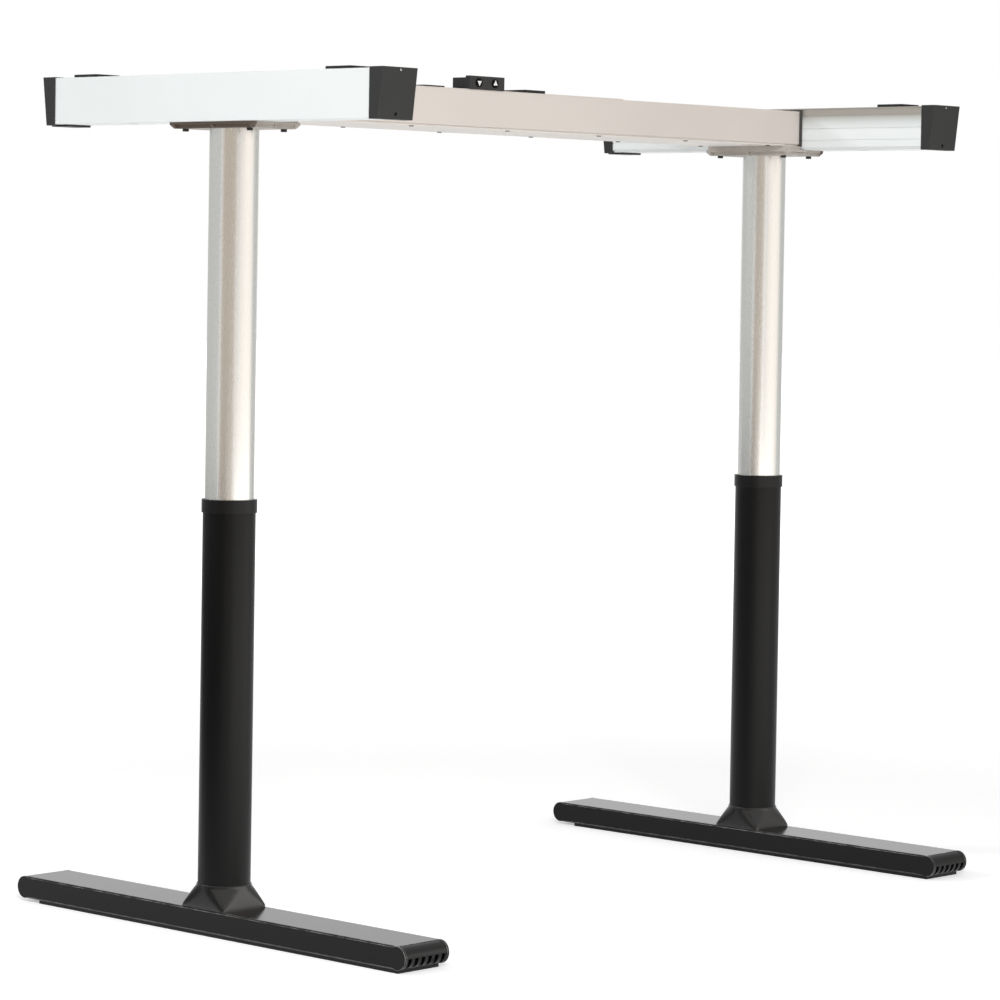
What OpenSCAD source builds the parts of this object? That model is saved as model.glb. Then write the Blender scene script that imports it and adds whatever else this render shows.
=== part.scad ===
// Height-adjustable standing desk frame with two telescopic columns.
// Shown fully raised, standing on the floor plane, origin midway between the columns.
// X runs from column to column, -Y is the side the user sits at, +Z is up.

/* [Stance] */
// Distance from the middle of the frame to each column axis
column_half = 597; // [450:1:750]
// Height of the collar top above the floor
collar_top = 623; // [560:1:700]
// Height of the underside of the side rails above the floor
rail_bottom = 1160; // [1130:1:1220]
// Travel of the lift from fully raised to fully lowered
lift_travel = 500; // [300:1:500]

/* [Foot] */
// Length of a foot from tip to tip
foot_l = 816; // [640:1:900]
// Width of a foot
foot_w = 86; // [84:1:100]
// Height of the foot bar and its rounded ends
foot_bar_h = 33; // [26:0.5:40]
// Wall of the hollow foot bar
foot_wall = 3.5; // [2.5:0.1:5]
// Chamfer along the foot bar's long edges
foot_chamfer = 2; // [0.5:0.1:3]
// Thickness of the strip under the foot
strip_h = 5; // [3:0.5:8]
// Distance from a foot's near tip to the end of the strip
strip_near_setback = 17; // [16.5:0.5:70]
// Distance from a foot's far tip to the end of the strip
strip_far_setback = 47; // [25:1:70]
// Distance the strip lies inside the foot's side
strip_inset = 3; // [1:0.5:8]

/* [Foot end caps] */
// Number of slots in a foot end cap
slot_count = 6; // [3:1:6]
// Width of one slot
slot_w = 7; // [3:0.5:8]
// Distance from one slot to the next
slot_pitch = 13; // [9:0.5:13]
// Depth of the slots, back from the tip
slot_depth = 9; // [4:0.5:12]
// Distance an end cap lies inside the rounded cheeks of the foot bar
foot_cap_inset = 0.8; // [0.3:0.1:2]
// Length of the spigot inside the foot bar
foot_spigot_l = 14; // [8:1:24]

/* [Column base] */
// Width of the skirt across the foot
skirt_w = 84; // [82:1:90]
// Length of the skirt along the foot
skirt_l = 88; // [84:1:110]
// Corner radius of the skirt's base
skirt_corner = 7; // [5:1:20]
// Height of the skirt
skirt_h = 34.5; // [28:0.5:50]
// Height of the skirt's upright plinth
skirt_plinth_h = 2.5; // [1:0.5:8]
// Thickness of the skirt's floor
skirt_floor = 12; // [10:0.5:16]
// Wall of the skirt's rim round the tube
skirt_rim = 1.8; // [1:0.1:3]
// Shank radius of the base bolts
base_bolt_r = 4; // [3:0.1:5]
// Head radius of the base bolts
base_bolt_head_r = 6.5; // [5.5:0.1:8]
// Base bolt distance from the column axis across the foot
base_bolt_x = 26; // [18:1:28]
// Base bolt distance from the column axis along the foot
base_bolt_y = 28; // [18:1:30]

/* [Column tubes] */
// Outer radius of the lower tube
outer_tube_r = 38; // [37.5:0.1:42]
// Wall of the lower tube
outer_tube_wall = 1.5; // [1:0.1:2]
// Outer radius of the upper tube
inner_tube_r = 35.5; // [34:0.1:35.5]
// Wall of the upper tube
inner_tube_wall = 2.5; // [1.5:0.1:4]
// Overlap of the two tubes when fully raised
tube_overlap = 67; // [60:1:70]
// Height of the glide ring on the upper tube
glide_h = 24; // [16:1:26]
// Height of the guide ring in the lower tube
guide_h = 36; // [20:1:38]
// Running gap between a ring and the tube that slides on it
running_gap = 0.05; // [0.03:0.01:0.1]
// Height of the collar
collar_h = 19; // [14:0.5:30]
// Wall of the collar
collar_wall = 2; // [1.5:0.1:3]
// Thickness of the collar's lip over the tube's end
collar_lip = 4; // [2:0.5:6]

/* [Lift screw] */
// Radius of the lift screw
screw_r = 8; // [6:0.5:9]
// Radius of the screw's journal in the drive wheel
journal_r = 6; // [4:0.5:6]
// Outer radius of the nut tube
nut_tube_r = 17; // [15:0.5:20]
// Wall of the nut tube
nut_tube_wall = 4; // [2:0.5:5]
// Height of the nut above its tube
nut_h = 30; // [20:1:40]
// Radial gap between the nut and the screw
nut_gap = 0.3; // [0.2:0.05:0.5]
// Length of the nut's spigot inside the nut tube
nut_spigot = 12; // [6:1:20]
// Gap below the lift screw and upper tube when fully lowered
bottom_gap = 6; // [3:0.5:10]

/* [Head plate] */
// Width of the head plate across the rail
head_w = 92; // [88:1:110]
// Length of the head plate along the rail
head_l = 174; // [150:1:200]
// Thickness of the head plate
head_t = 9; // [8:0.5:14]
// Thickness of the head plate's flange at the rail
head_flange = 3.5; // [2.5:0.1:5]
// Bevel of the head plate's ends
head_bevel = 4; // [3:0.5:18]
// Width of the ribs under the head plate
head_rib = 5; // [3:0.5:8]
// Depth of the recesses between the ribs
head_recess = 7; // [3:0.5:8]
// Radius of the head plate's boss round the tube
head_boss_r = 41; // [39:0.5:43]
// Depth of the tube's socket in the head plate
head_socket = 5; // [4:0.5:7]
// Shank radius of the head screws
head_screw_r = 3; // [2:0.1:4]
// Head radius of the head screws
head_screw_head_r = 4.5; // [4:0.1:6]
// Height of the head screws' heads
head_screw_head_h = 4; // [2:0.5:6]
// Head screw distance from the column axis across the rail
head_screw_x = 33; // [29:0.5:35]
// Head screw distance from the column axis along the rail
head_screw_y = 67; // [50:1:70]

/* [Side rails] */
// Length of a side rail between its end caps
rail_l = 656; // [500:1:760]
// Width of a side rail
rail_w = 64; // [60:1:72]
// Height of a side rail
rail_h = 68; // [64:1:80]
// Distance from the column axis out to the rail's outer face
rail_out = 56; // [54:1:60]
// Wall of a side rail
rail_wall = 2.5; // [2:0.1:3.5]
// Height of the sloped lower edge on the rail's inner side
rail_bottom_slope = 4.5; // [1:0.5:8]
// Height of the sloped upper edge on the rail's inner side
rail_top_slope = 2; // [1:0.5:5]
// Width of the flutes along the rail's inner face
flute_w = 2; // [1:0.5:4]
// Radius of the holes for the table top's screws
table_hole_r = 3; // [2:0.1:4]
// Radius of the screwdriver holes below them
driver_hole_r = 8; // [6:0.5:10]
// Distance of the table screw holes from the column axis
table_hole_place = 190; // [120:1:210]
// Depth of the flutes and the upper band
flute_d = 1; // [0.5:0.1:1.5]
// Height of the recessed upper band on the rail's inner face
band_h = 11; // [6:0.5:14]

/* [End caps] */
// Depth of an end cap at its top
cap_top_d = 26; // [20:0.5:40]
// Depth of an end cap at its bottom
cap_bottom_d = 17.5; // [10:0.5:19]
// Distance an end cap stands proud of the rail's faces
cap_proud = 1.5; // [0.5:0.1:3]
// Length of the end cap's spigot inside the rail
cap_spigot_l = 14; // [8:1:30]
// Gap between the spigot and the rail's walls
cap_spigot_gap = 3; // [1:0.5:6]
// Length of the far caps' tongue under the rail
tongue_l = 16; // [8:1:90]
// Thickness of the far caps' tongue
tongue_t = 3; // [1.5:0.5:5]
// Head radius of a cap screw
cap_screw_head_r = 3; // [2:0.1:4]
// Shank radius of a cap screw
cap_screw_r = 1.5; // [1:0.1:1.8]
// Radius of the hole at the cap's top
cap_hole_r = 1.6; // [1:0.1:2.5]

/* [Cross beam] */
// Width of the cross beam
beam_w = 163; // [150:1:168]
// Height of the cross beam
beam_h = 54; // [50:1:58]
// Height of the beam's lower edge above the rail's underside
beam_lift = 9; // [8:0.5:12]
// Wall of the beam's sheet
beam_wall = 2; // [1.5:0.1:3]
// Width of the flanges along the beam's lower edges
flange_w = 18; // [18:1:30]
// Thickness of the cover under the beam
cover_t = 3; // [2:0.5:4]
// Distance the cover lies inside the beam's sides
cover_inset = 3; // [1:0.5:8]
// Thickness of the gasket between beam and rail
gasket_t = 3; // [2:0.5:5]
// Distance the gasket stands proud of the beam
gasket_proud = 4; // [1:0.5:7]
// Head radius of a cover screw
cover_screw_head_r = 3.5; // [2.5:0.1:5]
// Head height of a cover screw
cover_screw_head_h = 1.2; // [0.8:0.1:2.5]
// Shank radius of a cover screw
cover_screw_r = 1.8; // [1:0.1:2.2]
// Length of a cover screw's shank
cover_screw_l = 9; // [6:0.5:12]
// Number of cover screws along each side
cover_screw_count = 6; // [2:1:8]
// Thickness of the lid over the control box
lid_t = 1.5; // [1:0.1:3]
// Place of the lid's end, right of the middle
lid_end = 148; // [80:1:400]

/* [Table pads] */
// Length of a pad across the frame
pad_x = 48; // [30:1:56]
// Length of a pad from front to back
pad_y = 52; // [30:1:80]
// Thickness of a pad
pad_t = 4.5; // [2:0.5:8]
// Distance of a near rail pad's middle from the rail's near end
near_pad_setback = 72; // [50:1:130]
// Distance of a far rail pad's middle from the rail's far end
far_pad_setback = 56; // [50:1:130]
// Place of the beam's front pad, left of the middle
front_pad_place = 51; // [40:1:70]
// Place of the beam's second pad, left of the middle
second_pad_place = 236; // [232:1:400]
// Distance of the second pad behind the beam's front
second_pad_back = 36; // [20:1:80]

/* [Drive] */
// Width of a gear housing across the rail
gearbox_w = 68; // [64:1:80]
// Height of a gear housing
gearbox_h = 38; // [34:1:40]
// Outer radius of the drive wheel
wheel_r = 17.5; // [14:0.5:19]
// Thickness of the drive wheel
wheel_t = 17.4; // [10:0.1:20]
// Outer radius of the worm
worm_r = 7.5; // [6:0.5:9]
// Length of the worm
worm_l = 30; // [16:1:34]
// Gap between the worm and the wheel
mesh_gap = 0.4; // [0.3:0.1:1]
// Gap round turning parts inside the housing
turn_gap = 0.5; // [0.4:0.1:1.5]
// Radius of the drive shaft
shaft_r = 4; // [3:0.5:5]
// Radius of the motor
motor_r = 20; // [14:0.5:21]
// Length of the motor
motor_l = 140; // [80:1:200]
// Length of the control box
control_box_l = 180; // [100:1:240]
// Width of the control box
control_box_w = 60; // [40:1:70]
// Height of the control box
control_box_h = 42; // [25:1:44]
// Place of the control box's middle, left of the middle
control_place = 240; // [220:1:400]

/* [Handset] */
// Length of the handset
handset_l = 76; // [70:1:110]
// Height of the handset's bezel
bezel_h = 20; // [17:0.5:24]
// Thickness of the handset's bezel
bezel_t = 8; // [6:0.5:12]
// Height of the handset's body
handset_h = 17.5; // [12:0.5:20]
// Depth of the handset's body behind the bezel
handset_d = 28; // [15:0.5:40]
// Place of the handset's middle, left of the middle
handset_place = 163; // [140:0.5:165]
// Distance the bezel stands in front of the beam
bezel_over = 2; // [0:0.5:6]
// Radius of a button
button_r = 6.5; // [4:0.1:7]
// Distance between the buttons
button_pitch = 35; // [20:0.5:38]
// Distance from the bezel's left end to the down button
button_start = 20.5; // [12:0.5:24]
// Height of a button above the bezel's face
button_proud = 1.2; // [1:0.1:2]
// Length of a button behind the bezel's face
button_l = 4.5; // [3:0.1:5]
// Travel of a button
button_travel = 1; // [0.5:0.1:1]
// Gap round a button
button_gap = 0.3; // [0.3:0.05:0.5]

/* [Hidden] */
$fn = 64;
// Overrun of every cut
over = 1;
// Clearance of a bolt in its hole
bolt_gap = 0.25;
// Clearance of a fitted piece in its seat
seat_gap = 0.2;
// Places of the two flutes as shares of the rail's height, from its top
flute_shares = [0.5, 0.78];
// Share of the rail's depth that a round edge of the pads takes
pad_corner_share = 0.1;
// Share of the beam flange's width at which the head screws pass
flange_screw_share = 0.7;

foot_half = foot_l / 2;
foot_top = strip_h + foot_bar_h;
foot_end_r = foot_bar_h / 2;
bar_half = foot_half - foot_end_r;
strip_l = foot_l - strip_near_setback - strip_far_setback;
strip_mid = (strip_near_setback - strip_far_setback) / 2;
strip_w = foot_w - 2 * strip_inset;
bar_in_w = foot_w - 2 * foot_wall;
bar_in_h = foot_bar_h - 2 * foot_wall;
block_l = skirt_l - 2 * base_bolt_r;

skirt_top = foot_top + skirt_h;
tube_base = foot_top + skirt_floor;
tube_top = collar_top - collar_lip;
outer_tube_in = outer_tube_r - outer_tube_wall;
inner_tube_in = inner_tube_r - inner_tube_wall;
inner_base = collar_top - tube_overlap;
head_bottom = rail_bottom - head_t;
inner_top = head_bottom + head_socket;
screw_base = tube_base + bottom_gap + lift_travel;

nut_base = screw_base + nut_h / 4;
nut_tube_in = nut_tube_r - nut_tube_wall;
nut_bore = screw_r + nut_gap;
spigot_h = bottom_gap / 2;

rail_top = rail_bottom + rail_h;
rail_in = rail_w - rail_out;
rail_half = rail_l / 2;
beam_bottom = rail_bottom + beam_lift;
beam_top = beam_bottom + beam_h;
cover_bottom = beam_bottom - cover_t;
beam_end = column_half - rail_in - gasket_t;
lid_top = beam_top + lid_t;
beam_screw_y = beam_w / 2 - beam_wall - flange_w * flange_screw_share;
screw_line = (beam_w - flange_w - beam_wall) / 2;
cover_screw_span = 2 * (beam_end - gearbox_w);

drive_z = beam_bottom + (beam_h - beam_wall) / 2;
worm_y = wheel_r + worm_r + mesh_gap;
wheel_gap = worm_r / 25;
gearbox_bottom = drive_z - gearbox_h / 2;
gearbox_front = wheel_r + worm_r;
gearbox_back = worm_y + 2 * worm_r;
window_h = gearbox_h + 2 * turn_gap;
shaft_half = column_half + gearbox_w / 2 - 2 * turn_gap;
boss_r = screw_r + 2 * outer_tube_wall - turn_gap / 2;

handset_left = -handset_place - handset_l / 2;
bezel_front = -beam_w / 2 - bezel_over;
bezel_back = bezel_front + bezel_t;
button_z = lid_top + bezel_h / 2;
down_x = handset_left + button_start;
up_x = down_x + button_pitch;

// Places its children at a column axis, with local +X pointing outward
module at_side(side) {
    if (side < 0) mirror([1, 0, 0]) translate([column_half, 0, 0]) children();
    else translate([column_half, 0, 0]) children();
}

// Repeats its children in the four quadrants of a column axis
module four(dx, dy) {
    for (x = [-dx, dx], y = [-dy, dy]) translate([x, y, 0]) children();
}

// Extrudes an outline drawn in X and Z along Y, centred
module along_y(length) {
    rotate([90, 0, 0]) translate([0, 0, -length / 2]) linear_extrude(length) children();
}

// Extrudes an outline drawn in Y and Z along X, centred
module along_x(length) {
    rotate([90, 0, 90]) translate([0, 0, -length / 2]) linear_extrude(length) children();
}

// Box standing on z, centred in X and Y
module block(w, l, h, z) {
    translate([-w / 2, -l / 2, z]) cube([w, l, h]);
}

// Ring or pipe standing on z
module pipe(r_out, r_in, h, z) {
    translate([0, 0, z]) difference() {
        cylinder(r = r_out, h = h);
        translate([0, 0, -over]) cylinder(r = r_in, h = h + 2 * over);
    }
}

// Outline of a box with chamfered corners, standing on zero
module chamfered(w, h, c) {
    polygon([[c - w / 2, 0], [w / 2 - c, 0], [w / 2, c], [w / 2, h - c],
        [w / 2 - c, h], [c - w / 2, h], [-w / 2, h - c], [-w / 2, c]]);
}

module foot_bar(side) {
    color("#1b1b1d") at_side(side) difference() {
        union() {
            translate([0, 0, strip_h]) along_y(2 * bar_half) chamfered(foot_w, foot_bar_h, foot_chamfer);
            for (x = [-1, 1], y = [-1, 1])
                translate([x * (foot_w - foot_wall) / 2, y * bar_half, strip_h + foot_end_r])
                    rotate([0, 90, 0])
                    cylinder(r = foot_end_r, h = foot_wall, center = true);
        }
        block(bar_in_w, 2 * bar_half + 2 * over, bar_in_h, strip_h + foot_wall);
        four(base_bolt_x, base_bolt_y) cylinder(r = base_bolt_r + bolt_gap, h = foot_top + over);
    }
}

module foot_cap(side, end) {
    color("#101012") at_side(side) difference() {
        union() {
            intersection() {
                translate([0, end * bar_half, strip_h + foot_end_r]) rotate([0, 90, 0])
                    cylinder(r = foot_end_r - foot_cap_inset, h = bar_in_w - 2 * seat_gap, center = true);
                translate([0, end * (bar_half + foot_half) / 2, 0])
                    block(foot_w, foot_half - bar_half, foot_top, 0);
            }
            translate([0, end * (bar_half - foot_spigot_l / 2), 0])
                block(bar_in_w - 2 * seat_gap, foot_spigot_l + seat_gap,
                    bar_in_h - 2 * seat_gap, strip_h + foot_wall + seat_gap);
        }
        for (i = [0 : slot_count - 1])
            translate([(i - (slot_count - 1) / 2) * slot_pitch, end * (foot_half - slot_depth / 2), 0])
                block(slot_w, slot_depth, foot_end_r, strip_h);
    }
}

module foot_strip(side) {
    color("#0c0c0d") at_side(side) difference() {
        translate([0, strip_mid, 0]) block(strip_w, strip_l, strip_h, 0);
        four(base_bolt_x, base_bolt_y) translate([0, 0, -over])
            cylinder(r = base_bolt_head_r + bolt_gap, h = strip_h + 2 * over);
    }
}

module clamp_block(side) {
    color("#6f7174") at_side(side) difference() {
        block(bar_in_w - 2 * seat_gap, block_l, bar_in_h, strip_h + foot_wall);
        four(base_bolt_x, base_bolt_y) cylinder(r = base_bolt_r + bolt_gap, h = foot_top);
    }
}

module base_bolts(side) {
    color("#55575a") at_side(side) four(base_bolt_x, base_bolt_y) {
        difference() {
            translate([0, 0, strip_h / 8]) cylinder(r = base_bolt_head_r, h = strip_h - strip_h / 8);
            cylinder(r = base_bolt_r / 2, h = strip_h / 2, $fn = 6);
        }
        translate([0, 0, strip_h]) cylinder(r = base_bolt_r, h = foot_bar_h + skirt_floor - 2 * over);
    }
}

module skirt(side) {
    color("#151517") at_side(side) difference() {
        union() {
            difference() {
                hull() {
                    for (x = [-1, 1], y = [-1, 1])
                        translate([x * (skirt_w / 2 - skirt_corner), y * (skirt_l / 2 - skirt_corner),
                            foot_top])
                            cylinder(r = skirt_corner, h = skirt_plinth_h, $fn = 32);
                    translate([0, 0, skirt_top - skirt_rim])
                        cylinder(r = outer_tube_r + skirt_rim, h = skirt_rim, $fn = 48);
                }
                translate([0, 0, tube_base]) cylinder(r = outer_tube_r, h = skirt_h);
            }
            translate([0, 0, tube_base - over]) cylinder(r = nut_tube_in, h = spigot_h + over);
        }
        four(base_bolt_x, base_bolt_y) translate([0, 0, foot_top - over])
            cylinder(r = base_bolt_r, h = skirt_floor);
    }
}

module outer_tube(side) {
    color("#17171a") at_side(side) pipe(outer_tube_r, outer_tube_in, tube_top - tube_base, tube_base);
}

module collar(side) {
    color("#1f1f22") at_side(side) {
        difference() {
            translate([0, 0, collar_top - collar_h]) cylinder(r = outer_tube_r + collar_wall, h = collar_h);
            translate([0, 0, collar_top - collar_h - over])
                cylinder(r = outer_tube_r, h = collar_h - collar_lip + over);
            translate([0, 0, tube_top - over])
                cylinder(r = inner_tube_r + 2 * seat_gap, h = collar_lip + 2 * over);
        }
    }
}

module guide_ring(side) {
    color("#e8e8e4") at_side(side)
        pipe(outer_tube_in, inner_tube_r + running_gap, guide_h, tube_top - guide_h);
}

module nut_tube(side) {
    color("#8c8f93") at_side(side) pipe(nut_tube_r, nut_tube_in, nut_base - tube_base, tube_base);
}

module nut(side) {
    color("#c9a24b") at_side(side) difference() {
        union() {
            translate([0, 0, nut_base]) cylinder(r = nut_tube_r, h = nut_h);
            translate([0, 0, nut_base - nut_spigot]) cylinder(r = nut_tube_in, h = nut_spigot + over);
        }
        translate([0, 0, nut_base - nut_spigot - over])
            cylinder(r = nut_bore, h = nut_spigot + nut_h + 2 * over);
    }
}

module inner_tube(side) {
    color("#d8d5cf") at_side(side)
        pipe(inner_tube_r, inner_tube_in, inner_top - inner_base, inner_base);
}

module glide_ring(side) {
    color("#e8e8e4") at_side(side)
        pipe(outer_tube_in - running_gap, inner_tube_r, glide_h, inner_base);
}

// Places of the head screws: two into the rail, on the outer side, and two into the beam
function head_screw_places() = [for (y = [-1, 1]) each
    [[head_screw_x, y * head_screw_y], [-head_screw_x, y * beam_screw_y]]];

// Outline of the head plate seen along one axis, bevelled toward its underside
module head_outline(span, bevel) {
    polygon([[-span / 2, head_t], [span / 2, head_t], [span / 2, head_t - head_flange],
        [span / 2 - bevel, 0], [bevel - span / 2, 0], [-span / 2, head_t - head_flange]]);
}

module head_plate(side) {
    recess_h = head_t - head_flange;
    recess_l = (head_l - 2 * head_bevel - 3 * head_rib) / 2;
    color("#cfc8bf") at_side(side) difference() {
        union() {
            difference() {
                translate([0, 0, head_bottom]) intersection() {
                    along_y(head_l) head_outline(head_w, head_rib);
                    along_x(head_w) head_outline(head_l, head_bevel);
                }
                for (x = [-1, 1], y = [-1, 1])
                    translate([x * head_w / 2, y * (recess_l + head_rib) / 2, 0])
                        block(2 * head_recess, recess_l, recess_h, head_bottom);
                for (x = [-1, 1], y = [-1, 1])
                    translate([x * (head_w - 3 * head_rib) / 4, y * head_l / 2, 0])
                        block(head_w / 2 - 2 * head_rib, 2 * head_bevel, recess_h, head_bottom);
            }
            translate([0, 0, head_bottom]) cylinder(r = head_boss_r, h = head_t);
            // Seat under the beam, up to its cover
            translate([-(head_w / 2 + rail_in + seat_gap) / 2, 0, 0])
                block(head_w / 2 - rail_in - seat_gap, head_l - 2 * head_bevel,
                    beam_lift - cover_t + over, rail_bottom - over);
        }
        translate([0, 0, head_bottom - over]) cylinder(r = inner_tube_r, h = head_socket + over);
        translate([0, 0, head_bottom]) cylinder(r = boss_r, h = head_t + beam_lift);
        for (place = head_screw_places()) translate([place.x, place.y, head_bottom - over])
            cylinder(r = head_screw_r + bolt_gap, h = head_t + beam_lift + 2 * over);
    }
}

module head_screws() {
    color("#161616") for (side = [-1, 1]) at_side(side)
        for (place = head_screw_places()) translate([place.x, place.y, head_bottom]) {
            top = place.x > 0 ? rail_wall : beam_lift + beam_wall;
            difference() {
                translate([0, 0, -head_screw_head_h])
                    cylinder(r = head_screw_head_r, h = head_screw_head_h);
                translate([0, 0, -head_screw_head_h - over])
                    cylinder(r = head_screw_r * 2 / 3, h = head_screw_head_h / 2 + over, $fn = 6);
            }
            cylinder(r = head_screw_r, h = head_t + top + head_screw_r);
        }
}

// Outline of the side rail in X and Z, inset by a wall
module rail_outline(inset) {
    x_out = rail_out - inset;
    x_in = inset - rail_in;
    z_low = inset;
    z_top = rail_h - inset;
    polygon([[x_out, z_low], [x_out, z_top], [x_in + rail_top_slope, z_top],
        [x_in, z_top - rail_top_slope], [x_in, z_low + rail_bottom_slope],
        [x_in + rail_bottom_slope, z_low]]);
}

module rail(side) {
    color("#eef2f1") at_side(side) difference() {
        translate([0, 0, rail_bottom]) along_y(rail_l) difference() {
            rail_outline(0);
            rail_outline(rail_wall);
            translate([-rail_in - over, rail_h - rail_top_slope - band_h])
                square([flute_d + over, band_h]);
            for (share = flute_shares)
                translate([-rail_in - over, rail_h * (1 - share) - flute_w / 2])
                    square([flute_d + over, flute_w]);
        }
        translate([0, 0, rail_bottom - over])
            cylinder(r = boss_r + seat_gap, h = gearbox_bottom - rail_bottom + 2 * over);
        translate([-rail_in, 0, 0])
            block(2 * (rail_wall + rail_bottom_slope), 2 * (gearbox_back + turn_gap), window_h,
                gearbox_bottom - turn_gap);
        for (y = [-1, 1])
            translate([head_screw_x, y * head_screw_y, rail_bottom - over])
                cylinder(r = head_screw_r + bolt_gap, h = rail_wall + 2 * over);
        for (y = [-1, 1]) translate([(rail_out - rail_in) / 2, y * table_hole_place, rail_bottom - over]) {
            cylinder(r = table_hole_r, h = rail_h + 2 * over);
            cylinder(r = driver_hole_r, h = rail_wall + 2 * over);
        }
    }
}

// Wedge-shaped rail end cap; end is -1 at the near end and 1 at the far end
module rail_cap(side, end) {
    cap_mid = (rail_out - rail_in) / 2;
    cap_bottom = rail_bottom - cap_proud;
    cap_h = rail_h + 2 * cap_proud;
    spigot_w = rail_w - 2 * (rail_wall + cap_spigot_gap) - rail_bottom_slope;
    spigot_z = rail_bottom + rail_wall + cap_spigot_gap;
    tongue_w = rail_w - 4 * rail_bottom_slope;
    screw_y = end * (rail_half + cap_bottom_d / 2);
    color("#3a3a3b") at_side(side) difference() {
        union() {
            translate([cap_mid, 0, cap_bottom]) along_x(rail_w + 2 * cap_proud)
                polygon([[end * rail_half, 0], [end * (rail_half + cap_bottom_d), 0],
                    [end * (rail_half + cap_top_d), cap_h], [end * rail_half, cap_h]]);
            translate([cap_mid, end * (rail_half - cap_spigot_l / 2), 0])
                block(spigot_w, cap_spigot_l + seat_gap, rail_h - 2 * (rail_wall + cap_spigot_gap),
                    spigot_z);
            if (end > 0)
                translate([cap_mid, rail_half - tongue_l / 2, 0])
                    block(tongue_w, tongue_l + seat_gap, tongue_t, rail_bottom - tongue_t);
            if (end > 0)
                translate([cap_mid, rail_half + cap_bottom_d / 2, 0])
                    block(tongue_w, cap_bottom_d, tongue_t + cap_proud, rail_bottom - tongue_t);
        }
        translate([cap_mid, 0, spigot_z]) rotate([90, 0, 0])
            cylinder(r = cap_screw_r, h = 2 * rail_l, center = true);
        translate([cap_mid, end * (rail_half + cap_top_d), spigot_z]) rotate([90, 0, 0])
            cylinder(r = cap_screw_head_r, h = 2 * (cap_top_d - cap_bottom_d / 2), center = true);
        translate([cap_mid, screw_y, rail_top - cap_hole_r]) rotate([90, 0, 0])
            cylinder(r = cap_hole_r, h = 2 * cap_top_d, center = true);
    }
}

module cap_screws() {
    spigot_z = rail_bottom + rail_wall + cap_spigot_gap;
    cap_mid = (rail_out - rail_in) / 2;
    color("#8f9092") for (side = [-1, 1], end = [-1, 1]) at_side(side)
        translate([cap_mid, end * (rail_half + cap_bottom_d / 2), spigot_z]) rotate([-end * 90, 0, 0]) {
            cylinder(r = cap_screw_head_r - seat_gap, h = cap_screw_head_r);
            translate([0, 0, -cap_bottom_d / 2 - cap_spigot_l / 2])
                cylinder(r = cap_screw_r, h = cap_bottom_d / 2 + cap_spigot_l / 2);
        }
}

module pad(z) {
    corner = pad_x * pad_corner_share;
    translate([0, 0, z]) linear_extrude(pad_t) hull() {
        for (x = [-1, 1], y = [-1, 1])
            translate([x * (pad_x / 2 - corner), y * (pad_y / 2 - corner)]) circle(r = corner, $fn = 32);
    }
}

module table_pads() {
    cap_mid = (rail_out - rail_in) / 2;
    color("#121213") {
        for (side = [-1, 1], place = [near_pad_setback - rail_half, rail_half - far_pad_setback])
            at_side(side)
            translate([cap_mid, place, 0]) pad(rail_top);
        translate([-front_pad_place, pad_y / 2 + bezel_over - beam_w / 2, 0]) pad(lid_top);
        translate([-second_pad_place, pad_y / 2 + second_pad_back - beam_w / 2, 0]) pad(lid_top);
    }
}

module beam_channel() {
    color("#dcd3ca") difference() {
        translate([0, 0, beam_bottom]) along_x(2 * beam_end) difference() {
            translate([-beam_w / 2, 0]) square([beam_w, beam_h]);
            translate([beam_wall - beam_w / 2, -over])
                square([beam_w - 2 * beam_wall, beam_h - beam_wall + over]);
        }
        for (side = [-1, 1]) at_side(side)
            translate([0, worm_y, beam_bottom]) block(2 * gearbox_w, shaft_r, over, beam_h);
    }
    // Flange turned in along each lower edge, which takes the cover's screws
    color("#dcd3ca") for (y = [-1, 1])
        translate([0, y * screw_line, 0]) difference() {
            block(2 * beam_end, flange_w + beam_wall, beam_wall, beam_bottom);
            for (x = cover_screw_places())
                translate([x, 0, beam_bottom - over]) cylinder(r = cover_screw_r, h = beam_wall + 2 * over);
            for (side = [-1, 1]) at_side(side)
                translate([-head_screw_x, y * (beam_screw_y - screw_line), beam_bottom - over])
                    cylinder(r = head_screw_r + bolt_gap, h = beam_wall + 2 * over);
        }
}

// Places of the cover screws along the beam
function cover_screw_places() = [for (i = [0 : cover_screw_count - 1])
    (i / (cover_screw_count - 1) - 1 / 2) * cover_screw_span];

module beam_cover() {
    color("#e4ddd5") difference() {
        block(2 * beam_end, beam_w - 2 * cover_inset, cover_t, cover_bottom);
        for (x = cover_screw_places(), y = [-1, 1])
            translate([x, y * screw_line, cover_bottom - over])
                cylinder(r = cover_screw_r, h = cover_t + 2 * over);
        for (side = [-1, 1], y = [-1, 1]) at_side(side)
            translate([-head_screw_x, y * beam_screw_y, cover_bottom - over])
                cylinder(r = head_screw_r + bolt_gap, h = cover_t + 2 * over);
    }
}

module cover_screws() {
    color("#2a2a2b") for (x = cover_screw_places(), y = [-1, 1])
        translate([x, y * screw_line, cover_bottom]) {
            translate([0, 0, -cover_screw_head_h]) cylinder(r = cover_screw_head_r, h = cover_screw_head_h);
            cylinder(r = cover_screw_r, h = cover_screw_l);
        }
}

module gasket(side) {
    color("#1a1b1c") at_side(side) difference() {
        translate([-rail_in - gasket_t / 2, 0, 0])
            block(gasket_t, beam_w + 2 * gasket_proud, beam_h + cover_t + gasket_t, cover_bottom);
        translate([0, 0, cover_bottom - over])
            cylinder(r = boss_r + seat_gap, h = gearbox_bottom - cover_bottom + 2 * over);
        translate([-rail_in, 0, 0])
            block(4 * gasket_t, 2 * (gearbox_back + turn_gap), window_h, gearbox_bottom - turn_gap);
    }
}

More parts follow.
